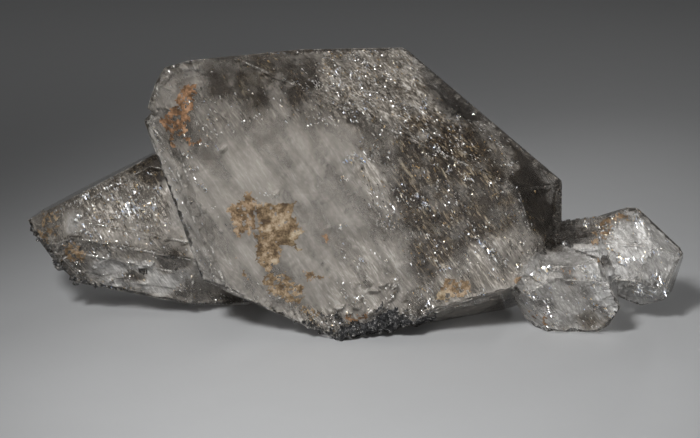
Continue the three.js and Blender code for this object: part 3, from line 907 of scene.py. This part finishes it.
def edge_chip_and_highlight_finish():
    """A bruised edge of the quartz: fine white chips that scatter the light. Their white is
    partly painted highlight along the edge.
    """
    material, tree, place = new_material("chipped_quartz_edge_and_highlight")
    chips, colour = mottled(tree, place, 0.6, 4.0, 0.7, [
        (0, "#77736c"), (0.45, "#8d8982"), (0.58, "#b9b5af"), (0.7, "#f2f0ec"), (1, "#ffffff")])
    broken = node(tree, "ShaderNodeMapRange", {
        "Value": chips, "From Min": 0.38, "From Max": 0.6, "To Min": 0.35, "To Max": 1.4})
    thin = node(tree, "ShaderNodeAttribute", attribute_name="thin")
    dense = node(tree, "ShaderNodeMath", {0: broken, 1: thin.outputs["Fac"]},
                 operation="MULTIPLY", use_clamp=True)
    return finished(material, {"Base Color": colour, "Roughness": 0.6, "Alpha": dense})


def silver_flake():
    """A flat gap in the quartz that holds air: a bright mirror with a little gold and blue fire."""
    return grainy("silvery_crack_flake", 0.5, [
        (0, "#d3a55c"), (0.2, "#f6e8cc"), (0.32, "#ffffff"), (0.7, "#ffffff"), (1, "#a3c0f2")],
        {"Metallic": 1.0, "Roughness": 0.32})


def smoky_speck():
    """A speck of tar or dark smoke on a crack, some with a golden gleam."""
    return grainy("smoky_crack_speck", 0.7, [
        (0, "#0d0a07"), (0.4, "#1f1811"), (0.6, "#43372a"), (0.75, "#8c754f"), (1, "#c9ab77")],
        {"Roughness": 0.35})


def carbon_grain():
    """Grains of black anthraxolite and grey dolomite, with some bright quartz crumbs."""
    return grainy("carbon_and_dolomite_grains", 0.45, [
        (0, "#060606"), (0.5, "#131313"), (0.62, "#343435"), (0.74, "#8a8886"), (1, "#e0deda")],
        {"Roughness": 0.35})


def clay_film():
    """Dried iron clay: matt, cream to brown and rust, mottled and crumbly."""
    material, tree, place = new_material("dried_iron_clay")
    mottle, clay, stain = mottled(tree, place, 1.8, 8.0, 0.75, [
        (0, "#30261d"), (0.4, "#544432"), (0.48, "#806d52"), (0.54, "#9f8d73"),
        (0.62, "#bfb29b"), (1, "#e4dac8")], [
        (0, "#231810"), (0.4, "#443020"), (0.47, "#664930"), (0.53, "#8a6446"), (0.6, "#ab8363"),
        (1, "#d0b394")])
    rust = node(tree, "ShaderNodeAttribute", attribute_name="rust")
    colour = node(tree, "ShaderNodeMix", {"Factor": rust.outputs["Fac"], 6: clay, 7: stain},
                  data_type="RGBA")
    crumbs = node(tree, "ShaderNodeBump", {
        "Strength": 1.0, "Distance": 0.15 * MM, "Height": mottle})
    return finished(material, {"Base Color": colour, "Roughness": 0.9, "Normal": crumbs})


def carbon_film():
    """A thin skin of soot-black carbon, grey where dolomite dusts it: matt and mottled."""
    material, tree, place = new_material("soot_black_carbon")
    mottle, colour = mottled(tree, place, 1.2, 7.0, 0.8, [
        (0, "#09090a"), (0.45, "#161617"), (0.53, "#323234"), (0.6, "#626261"), (1, "#c4c3bf")])
    crumbs = node(tree, "ShaderNodeBump", {
        "Strength": 1.0, "Distance": 0.2 * MM, "Height": mottle})
    return finished(material, {"Base Color": colour, "Roughness": 0.6, "Normal": crumbs})


def drawing_paper(settings):
    """Smooth, pale grey drawing paper: matt, with a faint mottle."""
    material, tree, place = new_material("drawing_paper")
    mottle, = mottled(tree, place, 9, 3.0, 0.5)
    tone = node(tree, "ShaderNodeMapRange", {"Value": mottle, "To Min": 0.97, "To Max": 1.0})
    colour = node(tree, "ShaderNodeVectorMath", {0: settings.paper, "Scale": tone},
                  operation="SCALE")
    return finished(material, {"Base Color": colour, "Roughness": 0.75})


# Operators


class ROCK_OT_crystal(Operator):
    """Builds the clear rock crystal, in place of the plain solid"""

    bl_idname = "herkimer.crystal"
    bl_label = "Rock Crystal"

    def execute(self, context):
        finish = rock_crystal(context.scene.rock)
        piece = add_piece("rock_crystal", rock_mesh(), finish)
        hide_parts(SOLID)
        return {"FINISHED"}


class ROCK_OT_chips_and_highlights(Operator):
    """Builds the chipped strips along the crystals' sharp edges, partly painted highlights"""

    bl_idname = "herkimer.chips"
    bl_label = "Chipped Edges and Highlights"

    def execute(self, context):
        rock = opened(rock_mesh())
        bm = bmesh.new()
        thin = bm.verts.layers.float.new("thin")
        for edge in rock.edges:
            sharp = edge.is_convex and edge.calc_face_angle(0) > CHIPPED_TURN
            if sharp and edge.calc_length() > CHIPPED_LENGTH * MM:
                add_chips_and_highlights(bm, thin, edge, context.scene.rock.chip)
        rock.free()
        add_piece("edge_chips_and_highlights", mesh_of("edge_chips_and_highlights", bm), edge_chip_and_highlight_finish())
        return {"FINISHED"}


class ROCK_OT_milk(Operator):
    """Builds the milky veils inside the crystal"""

    bl_idname = "herkimer.milk"
    bl_label = "Milky Veils"

    def execute(self, context):
        mesh = crack_mesh("milky_veils", "veil", context.scene.cracks, SWARMS)
        add_piece("milky_veils", mesh, milky_veil())
        return {"FINISHED"}


class ROCK_OT_silver(Operator):
    """Builds the silvery crack flakes inside the crystal"""

    bl_idname = "herkimer.silver"
    bl_label = "Silvery Flakes"

    def execute(self, context):
        cracks = context.scene.cracks
        surface = crack_mesh("silver_cracks", "silver", cracks)
        set_long(surface, cracks.flake)
        add_flakes("silver_flakes", surface, silver_flake(), cracks.silver_per_mm2, (40, 20, 25),
                   cracks.seed, 0.5)
        return {"FINISHED"}


class ROCK_OT_glints(Operator):
    """Builds the brightest flakes, which face the light in lines and clusters"""

    bl_idname = "herkimer.glints"
    bl_label = "Glints"

    def execute(self, context):
        cracks = context.scene.cracks
        tree = rock_tree()
        bm = bmesh.new()
        thin, longest = (bm.verts.layers.float.new(layer) for layer in ("thin", "long"))
        for x0, z0, x1, z1, half, long in GLINTS:
            length = math.hypot(x1 - x0, z1 - z0)
            dx, dz = half * (x1 - x0) / length, half * (z1 - z0) / length
            outline = (x0 - dx - dz, z0 - dz + dx, x1 + dx - dz, z1 + dz + dx,
                       x1 + dx + dz, z1 + dz - dx, x0 - dx + dz, z0 - dz - dx)
            add_patch(bm, tree, outline, GLINT_COVER, GLINT_STEP, -GLINT_DEPTH * MM,
                      [(thin, 1.0), (longest, long * MM)])
        add_flakes("glints", mesh_of("glint_beds", bm), silver_flake(), cracks.glints_per_mm2,
                   (30, 12, 12), cracks.seed + 5, 1.0)
        return {"FINISHED"}


class ROCK_OT_smoke(Operator):
    """Builds the smoky specks inside the crystal"""

    bl_idname = "herkimer.smoke"
    bl_label = "Smoky Specks"

    def execute(self, context):
        cracks = context.scene.cracks
        surface = crack_mesh("smoky_cracks", "smoke", cracks)
        set_long(surface, cracks.speck)
        add_flakes("smoky_specks", surface, smoky_speck(), cracks.smoke_per_mm2, (40, 15, 15),
                   cracks.seed + 3, 0.0)
        return {"FINISHED"}


class ROCK_OT_clay(Operator):
    """Lays the films of clay on the crystal"""

    bl_idname = "herkimer.clay"
    bl_label = "Clay Films"

    def execute(self, context):
        thickness = context.scene.films.thickness
        tree = rock_tree()
        bm = bmesh.new()
        layer = bm.verts.layers.float.new("rust")
        for rust, cover, outline in FILMS:
            add_patch(bm, tree, outline, cover, FILM_STEP, FILM_LIFT * thickness, [(layer, rust)])
        mesh = film_of("clay_films", bm, thickness)
        piece = add_piece("clay_films", mesh, clay_film())
        piece.visible_shadow = False
        return {"FINISHED"}


class ROCK_OT_crust(Operator):
    """Grows the crust of black and grey grains on the crystal"""

    bl_idname = "herkimer.crust"
    bl_label = "Black Crust"

    def execute(self, context):
        films = context.scene.films
        tree = rock_tree()
        bm = bmesh.new()
        thin = bm.verts.layers.float.new("thin")
        for cover, outline in CRUSTS:
            add_patch(bm, tree, outline, cover, CRUST_STEP, CRUST_LIFT * MM, [])
        for corner in bm.verts:
            corner[thin] = 1.0 if corner.co.z > films.grain else 0.0
        surface = mesh_of("crust_bed", bm.copy())
        set_long(surface, films.grain)
        add_piece("carbon_film", film_of("carbon_film", bm, CRUST_FILM * MM), carbon_film())
        add_scattered("crust_grains", surface, grain_tree(), carbon_grain(),
                      films.grains_per_mm2, {
                          "Smallest": (0.2,) * 3, "Largest": (1.0,) * 3, "Sway": (math.pi,) * 3,
                          "Seed": CRUST_SEED})
        return {"FINISHED"}


class ROCK_OT_stage(Operator):
    """Sets the floor, the lamps and the camera"""

    bl_idname = "herkimer.stage"
    bl_label = "Stage"

    def execute(self, context):
        stage = context.scene.stage_set
        add_floor(stage)
        add_spot("key", stage.key_power)
        add_top(stage.top_power)
        add_spot("fill", stage.fill_power)
        add_spot("rear", stage.rear_power)
        set_room(stage)
        set_camera()
        scene = context.scene
        scene.view_settings.view_transform = "Standard"
        scene.cycles.use_denoising = True
        scene.cycles.max_bounces = 12
        scene.cycles.transmission_bounces = 10
        scene.cycles.transparent_max_bounces = 16
        return {"FINISHED"}


def add_floor(stage):
    """A wide sheet of paper under the object."""
    half = FLOOR_HALF * MM
    mesh = bpy.data.meshes.new("floor")
    mesh.from_pydata([(-half, -half, 0), (half, -half, 0), (half, half, 0), (-half, half, 0)], [],
                     [(0, 1, 2, 3)])
    mesh.materials.append(drawing_paper(stage))
    floor = holder_of("floor", mesh)


def hang(lamp, power, place, aim):
    """Gives a lamp its power, puts it at a place in mm and turns it to another."""
    lamp.energy = power
    holder = holder_of(lamp.name, lamp)
    holder.location = Vector(place) * MM
    towards = Vector(aim) * MM - holder.location
    holder.rotation_euler = towards.to_track_quat("-Z", "Y").to_euler()


def add_spot(name, power):
    """A soft round lamp whose light fades towards the rim of its cone."""
    place, aim, cone, bulb = SPOTS[name]
    lamp = bpy.data.lights.new(name + "_light", "SPOT")
    lamp.spot_size = math.radians(cone)
    lamp.spot_blend = 1
    lamp.shadow_soft_size = bulb * MM
    hang(lamp, power, place, aim)


def add_top(power):
    """A soft box high behind the object, which lights the floor there most."""
    place, aim, width = SOFT_BOX
    lamp = bpy.data.lights.new("top_light", "AREA")
    lamp.size = width * MM
    hang(lamp, power, place, aim)


def set_room(stage):
    """The dim light that the room gives from all sides."""
    world = bpy.data.worlds.new("dim_room")
    world.use_nodes = True
    world.node_tree.nodes["Background"].inputs["Color"].default_value = rgba(stage.room)
    bpy.context.scene.world = world


def set_camera():
    """A long lens in front of the object, looking a little down."""
    lens = bpy.data.cameras.new("camera")
    lens.sensor_width = SENSOR
    lens.lens = LENS
    lens.clip_start = NEAREST * MM
    camera = holder_of("camera", lens)
    camera.location = Vector(CAMERA_PLACE) * MM
    camera.rotation_euler = (CAMERA_TILT, 0, 0)
    bpy.context.scene.camera = camera


class ROCK_PT_panel(Panel):
    """Lists the pieces of the crystal cluster"""

    bl_label = "Herkimer Diamond"
    bl_space_type = "VIEW_3D"
    bl_region_type = "UI"
    bl_category = "Crystal"

    def draw(self, context):
        for settings in GROUPS:
            group = getattr(context.scene, settings)
            box = self.layout.box()
            for name in group.__annotations__:
                box.prop(group, name)
        for operator in OPERATORS:
            self.layout.operator(operator.bl_idname)


GROUPS = {"rock": RockProperties, "cracks": CrackProperties, "films": FilmProperties,
          "stage_set": StageProperties}
OPERATORS = (ROCK_OT_stage, ROCK_OT_crystal, ROCK_OT_chips_and_highlights, ROCK_OT_milk, ROCK_OT_silver,
             ROCK_OT_glints, ROCK_OT_smoke, ROCK_OT_clay, ROCK_OT_crust)


def register():
    for kind in (*GROUPS.values(), *OPERATORS, ROCK_PT_panel):
        bpy.utils.register_class(kind)
    for name, group in GROUPS.items():
        setattr(bpy.types.Scene, name, PointerProperty(type=group))


def unregister():
    for name in GROUPS:
        delattr(bpy.types.Scene, name)
    for kind in (ROCK_PT_panel, *reversed(OPERATORS), *GROUPS.values()):
        bpy.utils.unregister_class(kind)


def main():
    register()
    for operator in OPERATORS:
        space, name = operator.bl_idname.split(".")
        getattr(getattr(bpy.ops, space), name)()


if __name__ == "__main__":
    main()
